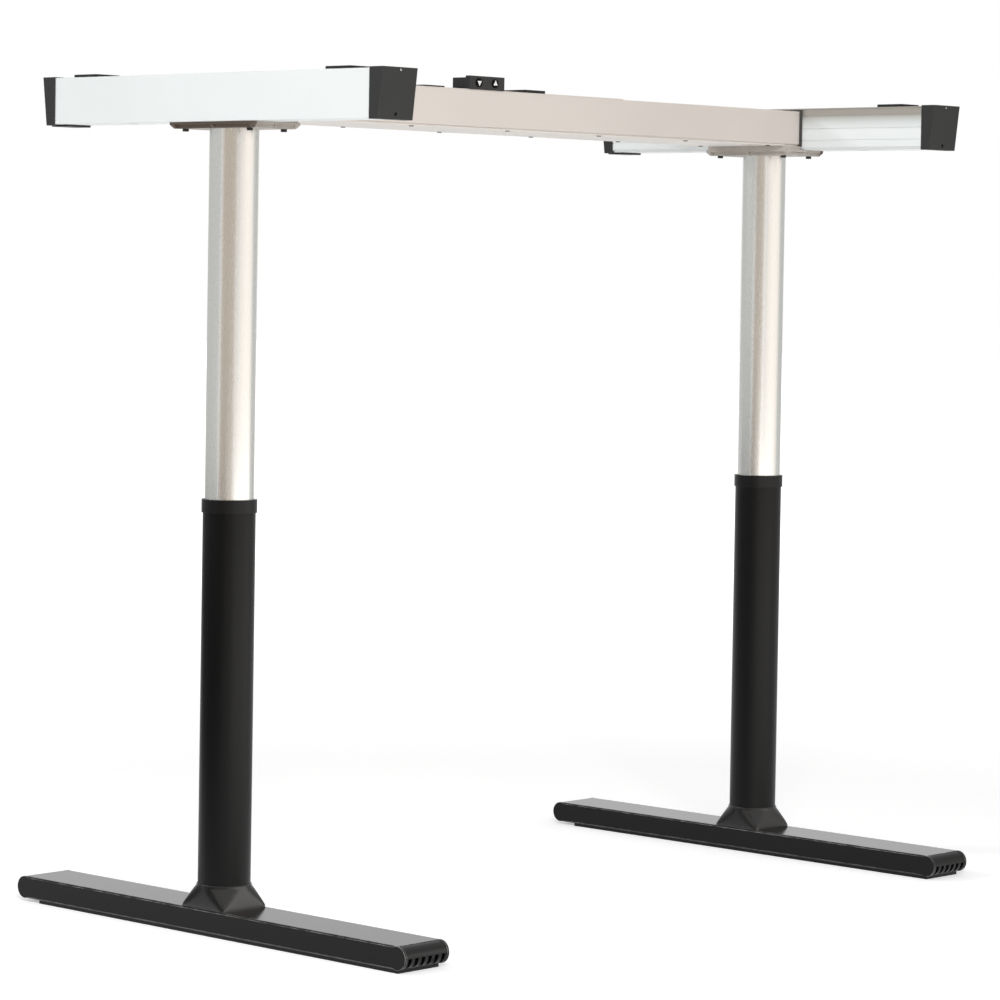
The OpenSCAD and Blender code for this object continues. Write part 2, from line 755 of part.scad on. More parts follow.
module control_lid() {
    lid_start = column_half - rail_in - gasket_t - cover_inset;
    color("#d9d0c7") translate([-lid_start, -beam_w / 2, beam_top])
        cube([lid_start + lid_end, beam_w, lid_t]);
}

module gear_housing(side) {
    foot_z = rail_bottom + rail_wall;
    color("#9b9da0") at_side(side) difference() {
        union() {
            translate([-gearbox_w / 2, -gearbox_front, gearbox_bottom])
                cube([gearbox_w, gearbox_front + gearbox_back, gearbox_h]);
            translate([gearbox_w / 12, -gearbox_front, foot_z])
                cube([gearbox_w / 3, 2 * gearbox_front, gearbox_bottom - foot_z + over]);
            translate([0, 0, inner_top])
                cylinder(r = boss_r - seat_gap, h = gearbox_bottom - inner_top + over);
        }
        translate([0, 0, inner_top - over]) cylinder(r = screw_r + turn_gap, h = drive_z - inner_top);
        translate([0, 0, drive_z - wheel_t / 2 - wheel_gap])
            cylinder(r = wheel_r + turn_gap, h = wheel_t + 2 * wheel_gap);
        translate([0, 0, drive_z])
            cylinder(r = journal_r + turn_gap, h = wheel_t / 2 + 2 * turn_gap + wheel_gap);
        translate([0, worm_y, drive_z]) rotate([0, 90, 0])
            cylinder(r = worm_r + turn_gap, h = worm_l + 2 * turn_gap, center = true);
        translate([-gearbox_w / 2 - over, worm_y, drive_z]) rotate([0, 90, 0])
            cylinder(r = shaft_r + turn_gap, h = gearbox_w + over - turn_gap);
    }
}

module motor() {
    color("#3c3e41") translate([0, worm_y, drive_z]) difference() {
        union() {
            rotate([0, 90, 0]) cylinder(r = motor_r, h = motor_l, center = true);
            translate([-motor_l / 8, -motor_r * 2 / 3, 0])
                cube([motor_l / 4, motor_r * 4 / 3, beam_top - beam_wall - drive_z]);
            translate([-motor_l / 2, -motor_r * 1.05, -motor_r * 0.95])
                cube([motor_l / 4, motor_r * 2.1, motor_r * 1.9]);
        }
        rotate([0, 90, 0]) cylinder(r = shaft_r + turn_gap, h = motor_l + 2 * over, center = true);
    }
}

module control_box() {
    color("#2b2d30") translate([-control_place, 0, 0]) {
        translate([-control_box_l / 2, beam_wall + cover_inset - beam_w / 2,
            beam_top - beam_wall - control_box_h])
            cube([control_box_l, control_box_w, control_box_h]);
    }
}

module handset_body() {
    color("#1d1e20") translate([handset_left + lid_t, bezel_back, lid_top])
        cube([handset_l - 2 * lid_t, handset_d, handset_h]);
}

module handset_bezel() {
    color("#232426") difference() {
        translate([handset_left, bezel_front, lid_top]) cube([handset_l, bezel_t, bezel_h]);
        for (x = [down_x, up_x])
            translate([x, bezel_front - over, button_z]) rotate([-90, 0, 0])
                cylinder(r = button_r + button_gap, h = over + button_l + button_travel + button_gap);
    }
}

module button(x) {
    color("#2e2f31") translate([x, bezel_front - button_proud, button_z]) rotate([-90, 0, 0])
        cylinder(r = button_r, h = button_proud + button_l);
}

module lift_screw(side) {
    color("#b9bcc0") at_side(side) {
        shoulder = drive_z - wheel_t / 2;
        translate([0, 0, screw_base]) cylinder(r = screw_r, h = shoulder - screw_base);
        translate([0, 0, shoulder - over]) cylinder(r = journal_r, h = wheel_t + over + turn_gap);
    }
}

module wheel(side) {
    color("#c7a050") at_side(side) pipe(wheel_r, journal_r, wheel_t, drive_z - wheel_t / 2);
}

module drive_shaft() {
    color("#a9acb0") translate([0, worm_y, drive_z]) {
        rotate([0, 90, 0]) cylinder(r = shaft_r, h = 2 * shaft_half, center = true);
        for (side = [-1, 1]) translate([side * column_half, 0, 0]) rotate([0, 90, 0])
            cylinder(r = worm_r, h = worm_l, center = true);
    }
}

foot_bar(-1);  // left_foot_bar
foot_cap(-1, -1);  // left_foot_cap_near
foot_cap(-1, 1);  // left_foot_cap_far
foot_strip(-1);  // left_foot_strip
clamp_block(-1);  // left_clamp_block
base_bolts(-1);  // left_base_bolts
skirt(-1);  // left_skirt
outer_tube(-1);  // left_outer_tube
collar(-1);  // left_collar
guide_ring(-1);  // left_guide_ring
nut_tube(-1);  // left_nut_tube
nut(-1);  // left_nut
foot_bar(1);  // right_foot_bar
foot_cap(1, -1);  // right_foot_cap_near
foot_cap(1, 1);  // right_foot_cap_far
foot_strip(1);  // right_foot_strip
clamp_block(1);  // right_clamp_block
base_bolts(1);  // right_base_bolts
skirt(1);  // right_skirt
outer_tube(1);  // right_outer_tube
collar(1);  // right_collar
guide_ring(1);  // right_guide_ring
nut_tube(1);  // right_nut_tube
nut(1);  // right_nut
inner_tube(-1);  // left_inner_tube
inner_tube(1);  // right_inner_tube
glide_ring(-1);  // left_glide_ring
glide_ring(1);  // right_glide_ring
head_plate(-1);  // left_head_plate
head_plate(1);  // right_head_plate
head_screws();
rail(-1);  // left_rail
rail(1);  // right_rail
rail_cap(-1, -1);  // left_near_cap
rail_cap(-1, 1);  // left_far_cap
rail_cap(1, -1);  // right_near_cap
rail_cap(1, 1);  // right_far_cap
cap_screws();
table_pads();
beam_channel();
beam_cover();
cover_screws();
gasket(-1);  // left_gasket
gasket(1);  // right_gasket
control_lid();
gear_housing(-1);  // left_gear_housing
gear_housing(1);  // right_gear_housing
motor();
control_box();
handset_body();
handset_bezel();
lift_screw(-1);  // left_lift_screw
wheel(-1);  // left_wheel
lift_screw(1);  // right_lift_screw
wheel(1);  // right_wheel
drive_shaft();
button(down_x);  // down_button
button(up_x);  // up_button
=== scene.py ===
# %% [markdown]
# A height-adjustable desk frame, dressed for a studio picture
#
# The CAD model already holds every solid of the frame in its right place. This lesson
# loads it, sets up the photograph's view, lights it plainly, and then gives every
# surface its own procedural finish and the small details that the solids leave out.

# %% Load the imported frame
import math
import bmesh
import bpy
from mathutils import Matrix, Vector


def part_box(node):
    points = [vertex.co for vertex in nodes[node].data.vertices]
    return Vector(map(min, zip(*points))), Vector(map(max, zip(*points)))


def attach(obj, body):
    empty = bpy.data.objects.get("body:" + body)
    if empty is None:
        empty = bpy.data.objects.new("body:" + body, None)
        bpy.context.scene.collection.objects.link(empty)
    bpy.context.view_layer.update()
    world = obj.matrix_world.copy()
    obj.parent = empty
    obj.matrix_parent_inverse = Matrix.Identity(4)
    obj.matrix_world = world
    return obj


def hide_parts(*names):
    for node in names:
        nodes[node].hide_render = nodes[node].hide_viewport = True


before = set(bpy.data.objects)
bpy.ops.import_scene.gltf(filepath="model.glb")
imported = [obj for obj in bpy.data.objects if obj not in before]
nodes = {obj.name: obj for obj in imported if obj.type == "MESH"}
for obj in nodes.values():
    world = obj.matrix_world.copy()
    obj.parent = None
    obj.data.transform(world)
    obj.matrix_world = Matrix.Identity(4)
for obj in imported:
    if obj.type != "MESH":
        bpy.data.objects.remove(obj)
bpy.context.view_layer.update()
scene = bpy.context.scene
print("solids loaded:", len(nodes))

# %% [markdown]
# The camera stands where the photographer stood: low, in front of the left leg, looking
# along the beam towards the right leg. A long lens from almost six metres away keeps
# the legs nearly parallel. The frame hangs low in the picture, so the camera looks down a
# little, and a small lens shift does the rest, which keeps the legs upright.

# %% Camera
PICTURE_WIDTH = 1000
FOCAL_PIXELS = 3773.5
LENS_AXIS_ROW = 390
YAW, PITCH, ROLL = 0.75188, -0.03272, 0.0163
CAMERA_PLACE = (-4.2689, -3.9596, 0.9614)
SENSOR_MM = 36

forward = Vector((math.cos(YAW) * math.cos(PITCH), math.sin(YAW) * math.cos(PITCH), math.sin(PITCH)))
level = Vector((math.sin(YAW), -math.cos(YAW), 0))
upright = level.cross(forward)
right = math.cos(ROLL) * level + math.sin(ROLL) * upright
up = math.cos(ROLL) * upright - math.sin(ROLL) * level
turn = Matrix((right, up, -forward)).transposed().to_4x4()

lens = bpy.data.cameras.new("photo_camera")
lens.sensor_width = SENSOR_MM
lens.lens = FOCAL_PIXELS / PICTURE_WIDTH * SENSOR_MM
lens.shift_y = (LENS_AXIS_ROW - PICTURE_WIDTH / 2) / PICTURE_WIDTH
lens.clip_end = 100
camera = bpy.data.objects.new("photo_camera", lens)
scene.collection.objects.link(camera)
camera.matrix_world = Matrix.Translation(CAMERA_PLACE) @ turn
scene.camera = camera
print("lens of", round(lens.lens, 1), "mm, shifted by", round(lens.shift_y, 3))

# %% [markdown]
# The studio is white paper below and white light behind. Paper that only lamps light is
# never quite white, so the floor gives a little light of its own to the camera and to
# reflections, more of it far away, and still shows the soft shadow under the feet. The
# world does the same: white where it is seen, and a plain level where it lights.

# %% Floor and world
def shader_tree(name):
    """A new material with only its output, and its tree."""
    material = bpy.data.materials.new(name)
    material.use_nodes = True
    tree = material.node_tree
    for node in list(tree.nodes):
        if node.type != "OUTPUT_MATERIAL":
            tree.nodes.remove(node)
    return material, tree, tree.nodes["Material Output"]


def seen_or_mirrored(tree):
    """1 for rays from the camera, from gloss and through glass, else 0."""
    path = tree.nodes.new("ShaderNodeLightPath")
    either = tree.nodes.new("ShaderNodeMath")
    either.operation = "MAXIMUM"
    tree.links.new(path.outputs["Is Camera Ray"], either.inputs[0])
    tree.links.new(path.outputs["Is Glossy Ray"], either.inputs[1])
    both = tree.nodes.new("ShaderNodeMath")
    both.operation = "MAXIMUM"
    tree.links.new(either.outputs[0], both.inputs[0])
    tree.links.new(path.outputs["Is Transmission Ray"], both.inputs[1])
    return both.outputs[0]


def new_piece(bm, name, material):
    """The finished mesh as an object of that name in the scene."""
    mesh = bpy.data.meshes.new(name)
    bm.to_mesh(mesh)
    bm.free()
    mesh.materials.append(material)
    made = bpy.data.objects.new(name, mesh)
    scene.collection.objects.link(made)
    return made


PAPER_SHADE, FLOOR_REACH = 0.86, 30
# How far from the middle, in metres, and how strong the paper's own light is there
GLOW_NEAR, GLOW_FAR = (1.5, 0.42), (6.0, 1.0)
WORLD_LIGHT, WORLD_WHITE = 0.45, 1.0

paper, tree, output = shader_tree("studio_paper")
matt = tree.nodes.new("ShaderNodeBsdfDiffuse")
matt.inputs["Color"].default_value = (PAPER_SHADE, PAPER_SHADE, PAPER_SHADE, 1)
own_light = tree.nodes.new("ShaderNodeEmission")
spot = tree.nodes.new("ShaderNodeTexCoord")
away = tree.nodes.new("ShaderNodeVectorMath")
away.operation = "LENGTH"
tree.links.new(spot.outputs["Object"], away.inputs[0])
fade = tree.nodes.new("ShaderNodeMapRange")
fade.inputs["From Min"].default_value, fade.inputs["To Min"].default_value = GLOW_NEAR
fade.inputs["From Max"].default_value, fade.inputs["To Max"].default_value = GLOW_FAR
tree.links.new(away.outputs["Value"], fade.inputs["Value"])
glow = tree.nodes.new("ShaderNodeMath")
glow.operation = "MULTIPLY"
tree.links.new(fade.outputs["Result"], glow.inputs[1])
tree.links.new(seen_or_mirrored(tree), glow.inputs[0])
tree.links.new(glow.outputs[0], own_light.inputs["Strength"])
together = tree.nodes.new("ShaderNodeAddShader")
tree.links.new(matt.outputs[0], together.inputs[0])
tree.links.new(own_light.outputs[0], together.inputs[1])
tree.links.new(together.outputs[0], output.inputs["Surface"])

bm = bmesh.new()
bmesh.ops.create_grid(bm, x_segments=1, y_segments=1, size=FLOOR_REACH)
studio_floor = new_piece(bm, "studio_floor", paper)

world = bpy.data.worlds.new("studio_world")
world.use_nodes = True
scene.world = world
tree = world.node_tree
background = tree.nodes["Background"]
strength = tree.nodes.new("ShaderNodeMapRange")
strength.inputs["To Min"].default_value = WORLD_LIGHT
strength.inputs["To Max"].default_value = WORLD_WHITE
tree.links.new(seen_or_mirrored(tree), strength.inputs["Value"])
tree.links.new(strength.outputs["Result"], background.inputs["Strength"])
background.inputs["Color"].default_value = (1, 1, 1, 1)
scene.view_settings.view_transform = "Standard"
print("floor and world ready")

# %% [markdown]
# Three lamps do the rest. The main softbox hangs in front of the near leg, so the
# beam's face is brightest there and fades towards the far leg, as it does in the
# photograph. A weak, warmer one on the right fills the shadows. Polished metal would
# show both as glaring patches, so reflections don't see them. A small lamp high at the
# back left is there for its reflection: it draws part of the bright line along the top
# edges, and a painted highlight in the feet's edge colour draws the rest.

# %% Lamps
def softbox(name, place, target, width, height, watts, colour):
    """A rectangular lamp at place that looks at target."""
    lamp = bpy.data.lights.new(name, "AREA")
    lamp.shape = "RECTANGLE"
    lamp.size, lamp.size_y = width, height
    lamp.energy = watts
    lamp.color = colour
    holder = bpy.data.objects.new(name, lamp)
    scene.collection.objects.link(holder)
    towards = Vector(target) - Vector(place)
    holder.matrix_world = (
        Matrix.Translation(place) @ towards.to_track_quat("-Z", "Y").to_matrix().to_4x4()
    )
    print(name, "at", place, watts, "W")
    return holder


key = softbox("key_softbox", (-2.9, -3.3, 2.6), (-0.5, 0, 0.8), 1.8, 1.8, 112, (1, 1, 1))
warm = softbox("warm_softbox", (1.5, -4.5, 2.0), (0, 0, 0.8), 1.6, 3.0, 14, (1, 0.95, 0.88))
key.visible_glossy = warm.visible_glossy = False
softbox("rim_softbox", (-2.8, 3.3, 3.0), (-0.5, 0, 0.2), 0.6, 0.6, 45, (1, 1, 1))

# %% [markdown]
# A bare tube of silver aluminium shows nothing but its surroundings. In the photograph
# it has grey edges, and a tan stripe left of a cream streak. Tall cards round the frame
# draw them here, and the cream one fades towards its ends, as a lit wall does. The two
# low cards do it for the black tubes and feet. Only reflections see a card, so it casts
# no shadow. The cards stand where this view needs them, so that from another side the
# tubes show other stripes, as real ones would.

# %% Cards for the reflections
CARD_HEIGHT, LOW_CARD_HEIGHT = 3.2, 0.5


def card(name, bearing, distance, width, shades, height=CARD_HEIGHT):
    """A card round the frame; bearing in degrees from +X to +Y, shades end to end."""
    angle = math.radians(bearing)
    along = Vector((-math.sin(angle), math.cos(angle), 0))
    material, tree, output = shader_tree(name)
    plain = tree.nodes.new("ShaderNodeEmission")
    place = tree.nodes.new("ShaderNodeTexCoord")
    reach = tree.nodes.new("ShaderNodeVectorMath")
    reach.operation = "DOT_PRODUCT"
    reach.inputs[1].default_value = along / width
    centred = tree.nodes.new("ShaderNodeMath")
    centred.operation = "ADD"
    centred.inputs[1].default_value = 0.5
    ramp = tree.nodes.new("ShaderNodeValToRGB")
    for number, shade in enumerate(shades):
        position = number / max(1, len(shades) - 1)
        if number < 2:
            stop = ramp.color_ramp.elements[number]
            stop.position = position
        else:
            stop = ramp.color_ramp.elements.new(position)
        stop.color = (*shade, 1)
    tree.links.new(place.outputs["Object"], reach.inputs[0])
    tree.links.new(reach.outputs["Value"], centred.inputs[0])
    tree.links.new(centred.outputs[0], ramp.inputs[0])
    tree.links.new(ramp.outputs["Color"], plain.inputs["Color"])
    tree.links.new(plain.outputs[0], output.inputs["Surface"])
    middle = Vector((math.cos(angle), math.sin(angle), 0)) * distance
    bm = bmesh.new()
    bmesh.ops.create_grid(bm, x_segments=1, y_segments=1, size=0.5)
    bmesh.ops.scale(bm, vec=(width, height, 1), verts=bm.verts)
    bmesh.ops.rotate(bm, matrix=Matrix.Rotation(math.pi / 2, 3, "X"), verts=bm.verts)
    bmesh.ops.rotate(bm, matrix=Matrix.Rotation(angle + math.pi / 2, 3, "Z"), verts=bm.verts)
    bmesh.ops.translate(bm, vec=middle + Vector((0, 0, height / 2)), verts=bm.verts)
    made = new_piece(bm, name, material)
    made.visible_camera = made.visible_diffuse = made.visible_shadow = False
    made.visible_transmission = False
    print(name, "at bearing", bearing)


TAN, GREY, SOOT = (0.57, 0.5, 0.43), (0.6, 0.61, 0.6), (0.16, 0.16, 0.16)
BRIGHT = (2.4, 2.35, 2.25)
CREAM = ((0.65, 0.62, 0.58), (1.0, 0.95, 0.9), (1.22, 1.14, 1.06), (1.18, 1.11, 1.04),
         (0.95, 0.91, 0.87))
card("tan_card", -156, 3.4, 3.8, (TAN, TAN))
card("left_grey_card", 118, 3.8, 9.5, (GREY, GREY))
card("cream_card", -76, 4.2, 8.4, CREAM)
card("back_grey_card", -4, 3.8, 4.0, (GREY, GREY))
card("low_dark_card", 150, 1.5, 4.0, (SOOT, SOOT), LOW_CARD_HEIGHT)
card("low_bright_card", -88, 1.3, 2.4, (BRIGHT, BRIGHT), LOW_CARD_HEIGHT)

# %% [markdown]
# Most finishes on this frame are made the same way: a colour that clouds a little from
# place to place, a fine grain that the light catches, and corners that are slightly
# rounded and a shade lighter. That lighter edge colour is wear, and on the black foot
# coat it is a painted highlight. One helper builds that recipe from named numbers, so
# that each finish below is one short call. Roughness, colour and bump all come from
# noise on Object coordinates, which stay put when the frame moves.

# %% The common recipe
def noise(tree, scale, detail=2.0, stretch=(1, 1, 1)):
    """Noise on the object's own coordinates, scale in lumps a metre."""
    place = tree.nodes.new("ShaderNodeTexCoord")
    fit = tree.nodes.new("ShaderNodeMapping")
    fit.inputs["Scale"].default_value = stretch
    lumps = tree.nodes.new("ShaderNodeTexNoise")
    lumps.inputs["Scale"].default_value = scale
    lumps.inputs["Detail"].default_value = detail
    tree.links.new(place.outputs["Object"], fit.inputs["Vector"])
    tree.links.new(fit.outputs["Vector"], lumps.inputs["Vector"])
    return lumps.outputs["Fac"]


def spread(tree, value, low, high, start=0.3, end=0.7):
    """Value from start to end becomes low to high."""
    change = tree.nodes.new("ShaderNodeMapRange")
    change.inputs["From Min"].default_value = start
    change.inputs["From Max"].default_value = end
    change.inputs["To Min"].default_value = low
    change.inputs["To Max"].default_value = high
    tree.links.new(value, change.inputs["Value"])
    return change.outputs["Result"]


def blend_colour(tree, share, first, second):
    """First colour where share is 0 and second where it is 1; each may be a link."""
    mix = tree.nodes.new("ShaderNodeMix")
    mix.data_type = "RGBA"
    tree.links.new(share, mix.inputs["Factor"])
    for socket, value in ((mix.inputs[6], first), (mix.inputs[7], second)):
        if isinstance(value, tuple):
            socket.default_value = (*value, 1)
        else:
            tree.links.new(value, socket)
    return mix.outputs[2]


def shade_of(colour, factor):
    """The colour times a factor, and never over white."""
    return tuple(min(1.0, part * factor) for part in colour)


# How squarely a corner's rounded surface meets its flat face, 1 being not round at all:
# where the edge colour starts and where it is full; it is wear, and a painted highlight on the black
# coat
WEAR_AND_GLINT_STARTS, WEAR_AND_GLINT_FULL = 0.995, 0.88
CORNER_SAMPLES, WEAR_AND_GLINT_PATCHES = 4, 60


def finish(name, colour, roughness, metallic=0.0, gloss=0.5, clouds=9, cloud=0.06,
           grain=1400, depth=0.00002, stretch=(1, 1, 1), vary=0.05, corner=0.0006,
           edge_wear_and_glint=1.6, coat=None, extra=None):
    """A material with clouded colour, grain, and rounded corners in a lighter edge colour: wear, and
    on the black foot coat a painted highlight.
    """
    material, tree, output = shader_tree(name)
    shader = tree.nodes.new("ShaderNodeBsdfPrincipled")
    shader.inputs["Metallic"].default_value = metallic
    shader.inputs["Specular IOR Level"].default_value = gloss
    if coat:
        for socket, value in zip(("Coat Weight", "Coat Roughness", "Coat IOR"), coat):
            shader.inputs[socket].default_value = value
    tree.links.new(shader.outputs[0], output.inputs["Surface"])

    lumps = noise(tree, clouds, 3.0, stretch)
    tone = blend_colour(tree, spread(tree, lumps, 0, 1),
                        shade_of(colour, 1 - cloud), shade_of(colour, 1 + cloud))
    rounded = tree.nodes.new("ShaderNodeBevel")
    rounded.samples = CORNER_SAMPLES
    rounded.inputs["Radius"].default_value = corner
    facing = tree.nodes.new("ShaderNodeNewGeometry")
    match = tree.nodes.new("ShaderNodeVectorMath")
    match.operation = "DOT_PRODUCT"
    tree.links.new(rounded.outputs[0], match.inputs[0])
    tree.links.new(facing.outputs["Normal"], match.inputs[1])
    edge = spread(tree, match.outputs["Value"], 0, 1, WEAR_AND_GLINT_STARTS, WEAR_AND_GLINT_FULL)
    patches = spread(tree, noise(tree, WEAR_AND_GLINT_PATCHES, 4.0), 0.25, 1.0, 0.4, 0.6)
    patchy = tree.nodes.new("ShaderNodeMath")
    patchy.operation = "MULTIPLY"
    tree.links.new(edge, patchy.inputs[0])
    tree.links.new(patches, patchy.inputs[1])
    # The edge colour: wear on most finishes, a painted highlight on the black foot coat
    if not isinstance(edge_wear_and_glint, tuple):
        edge_wear_and_glint = shade_of(colour, edge_wear_and_glint)
    tone = blend_colour(tree, patchy.outputs[0], tone, edge_wear_and_glint)
    if extra:
        tone = extra(tree, tone)
    tree.links.new(tone, shader.inputs["Base Color"])

    fine = noise(tree, grain, 2.0, stretch)
    tree.links.new(spread(tree, fine, roughness - vary, roughness + vary),
                   shader.inputs["Roughness"])
    relief = tree.nodes.new("ShaderNodeBump")
    relief.inputs["Distance"].default_value = depth
    tree.links.new(fine, relief.inputs["Height"])
    tree.links.new(rounded.outputs[0], relief.inputs["Normal"])
    tree.links.new(relief.outputs[0], shader.inputs["Normal"])
    print("finish", name)
    return material


finishes = {}

# %% [markdown]
# The feet and the lower tubes are steel with a satin black powder coat. Powder melts
# into a skin with a faint orange peel, which a very low bump gives, in lumps of a
# millimetre or two. It is smooth enough that a foot's flat top mirrors the bright studio
# when seen from low down, and is deep black face on. The skirts, caps, pads and keys are
# moulded, so their grain is finer on the whole, and most of them are duller.

# %% Black coat and black plastics
# The light edge colour here is a painted highlight along the feet's top edges
finishes["black_coat"] = finish("black_foot_coat", (0.0035, 0.0035, 0.0037), 0.16, gloss=0.13,
                                clouds=5, cloud=0.15, grain=650, depth=0.000006, vary=0.03,
                                corner=0.0016, edge_wear_and_glint=(0.5, 0.5, 0.48),
                                coat=(0.3, 0.12, 1.25))
tube_coat = finish("black_tube_coat", (0.0015, 0.0015, 0.0016), 0.38, gloss=0.2, clouds=5,
                   cloud=0.15, grain=650, depth=0.00001, corner=0.0008,
                   edge_wear_and_glint=(0.03, 0.03, 0.03))
skirt_plastic = finish("black_skirt_plastic", (0.008, 0.0075, 0.0072), 0.26, gloss=0.5,
                       grain=1500, depth=0.00001, corner=0.0008, edge_wear_and_glint=(0.04, 0.04, 0.04))
finishes["black_plastic"] = finish("black_moulded_plastic", (0.004, 0.004, 0.0042), 0.34,
                                   gloss=0.24, grain=1800, depth=0.000015, corner=0.001,
                                   edge_wear_and_glint=(0.03, 0.03, 0.03))
finishes["grey_cap"] = finish("grey_moulded_plastic", (0.03, 0.03, 0.03), 0.45, gloss=0.2,
                              grain=1500, depth=0.00002, corner=0.0012, edge_wear_and_glint=3.2)
finishes["pad_rubber"] = finish("pad_rubber", (0.012, 0.012, 0.012), 0.62, gloss=0.3,
                                grain=700, depth=0.00006, edge_wear_and_glint=1.5)
finishes["handset_black"] = finish("handset_plastic", (0.012, 0.012, 0.0125), 0.3, gloss=0.4,
                                   grain=1600, corner=0.0006, edge_wear_and_glint=2.0)
key_black = finish("button_key_plastic", (0.002, 0.002, 0.002), 0.5, gloss=0.08, grain=1600,
                   corner=0.0004, edge_wear_and_glint=(0.02, 0.02, 0.02))
gasket_foam = finish("gasket_foam", (0.075, 0.072, 0.066), 0.7, gloss=0.2, grain=900,
                     depth=0.00008, edge_wear_and_glint=1.3)
finishes["box_plastic"] = finish("box_plastic", (0.03, 0.03, 0.034), 0.45, grain=1500)
finishes["black_screw"] = finish("black_oxide_screw", (0.016, 0.016, 0.017), 0.35, gloss=0.4,
                                 grain=2500, corner=0.0003, edge_wear_and_glint=3.0)
finishes["motor_paint"] = finish("motor_paint", (0.05, 0.05, 0.055), 0.4, grain=900)

# %% [markdown]
# The silver tubes are drawn aluminium, so their grain runs lengthwise. Noise that is
# drawn out along Z gives fine upright lines, faint enough to read as a satin sheen.

# %% Silver tubes
finishes["silver_tube"] = finish("drawn_silver_tube", (0.8, 0.795, 0.775), 0.27, metallic=1.0,
                                 clouds=60, cloud=0.006, grain=2500, depth=0.0000003,
                                 stretch=(1, 1, 0.02), vary=0.01, edge_wear_and_glint=1.1)

# %% [markdown]
# The cast head plates on top are painted over a sandy skin, so their grain is coarser
# and runs no way at all. Their outer sides get a dark brown painted shade, for the shade
# under the rail's overhang. A finish can tell where it is on the frame from the Object
# coordinates, because every solid's object sits at the origin, so a plate's outer side
# is simply what lies farthest from the middle. The metals inside the frame need no such
# care.

# %% Castings and other metals
# From a plate's outer edge inwards, where the painted shade starts and where it is full
OUTER_SHADE_STARTS, OUTER_SHADE_FULL = 0.0078, 0.0074
# The painted shade's dark brown on a plate's outer side
OUTER_SIDE_SHADE = (0.15, 0.115, 0.09)


def object_part(tree, axis):
    """One part, X, Y or Z, of the place on the object."""
    place = tree.nodes.new("ShaderNodeTexCoord")
    split = tree.nodes.new("ShaderNodeSeparateXYZ")
    tree.links.new(place.outputs["Object"], split.inputs[0])
    return split.outputs[axis]


def from_middle(tree, inside, outside):
    """0 nearer the middle of the frame than inside, 1 farther than outside."""
    sideways = tree.nodes.new("ShaderNodeMath")
    sideways.operation = "ABSOLUTE"
    tree.links.new(object_part(tree, "X"), sideways.inputs[0])
    return spread(tree, sideways.outputs[0], 0, 1, inside, outside)


def painted_shade_outer_side(tree, tone):
    """The tone, but with a dark brown painted shade on a plate's outer side."""
    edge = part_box("right_head_plate")[1].x
    outer = from_middle(tree, edge - OUTER_SHADE_STARTS, edge - OUTER_SHADE_FULL)
    return blend_colour(tree, outer, tone, OUTER_SIDE_SHADE)


# The plates' outer sides carry a painted shade
finishes["cast_plate"] = finish("painted_casting", (0.54, 0.495, 0.45), 0.55, gloss=0.35,
                                clouds=30, cloud=0.10, grain=900, depth=0.00012,
                                corner=0.001, edge_wear_and_glint=1.3, extra=painted_shade_outer_side)
finishes["housing"] = finish("bare_casting", (0.5, 0.5, 0.51), 0.5, metallic=0.9, grain=800,
                             depth=0.0001, edge_wear_and_glint=1.2)
finishes["steel"] = finish("turned_steel", (0.55, 0.55, 0.56), 0.3, metallic=1.0, clouds=20,
                           grain=2000, depth=0.00001, corner=0.0003, edge_wear_and_glint=1.2)
finishes["brass"] = finish("turned_brass", (0.72, 0.52, 0.25), 0.3, metallic=1.0, grain=2000,
                           depth=0.00001, corner=0.0003, edge_wear_and_glint=1.2)
finishes["white_plastic"] = finish("white_nylon", (0.85, 0.85, 0.83), 0.45, grain=1200,
                                   edge_wear_and_glint=1.05)

# %% [markdown]
# The side rails are pale, almost white, and the beam between them is a warm beige. Both
# are thin satin paint on metal, so grain and clouds stay very faint. Too much of
# either would make the big flat faces look dirty. On their inner side the rails darken
# towards a sunk band along the top, a brownish painted shade. A ramp over the height
# paints that shade, and the distance from the middle of the frame limits it to the
# inner faces.

# %% Rails and beam
# Out from a rail's inner face, where the shade starts to show and where it is full
INNER_STARTS, INNER_FULL = 0.0025, 0.0022
# Shares of the rail's height, and the painted shade that the paint is multiplied by there
BAND_SHADE_STOPS = ((0.47, (1, 1, 1)), (0.65, (0.8, 0.8, 0.79)), (0.76, (0.6, 0.585, 0.55)),
              (0.82, (0.43, 0.385, 0.345)))


def painted_band_shade(tree, tone):
    """The tone, with a painted shade darkening to a brownish band along the top of a rail's inner
    face.
    """
    low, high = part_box("right_rail")
    height = spread(tree, object_part(tree, "Z"), 0, 1, low.z, high.z)
    ramp = tree.nodes.new("ShaderNodeValToRGB")
    ramp.color_ramp.elements.remove(ramp.color_ramp.elements[1])
    for number, (share, colour) in enumerate(BAND_SHADE_STOPS):
        if number:
            stop = ramp.color_ramp.elements.new(share)
        else:
            stop = ramp.color_ramp.elements[0]
            stop.position = share
        stop.color = (*colour, 1)
    tree.links.new(height, ramp.inputs[0])
    inner = from_middle(tree, low.x + INNER_STARTS, low.x + INNER_FULL)
    tint = blend_colour(tree, inner, (1.0, 1.0, 1.0), ramp.outputs["Color"])
    product = tree.nodes.new("ShaderNodeMix")
    product.data_type = "RGBA"
    product.blend_type = "MULTIPLY"
    product.inputs["Factor"].default_value = 1
    tree.links.new(tone, product.inputs[6])
    tree.links.new(tint, product.inputs[7])
    return product.outputs[2]


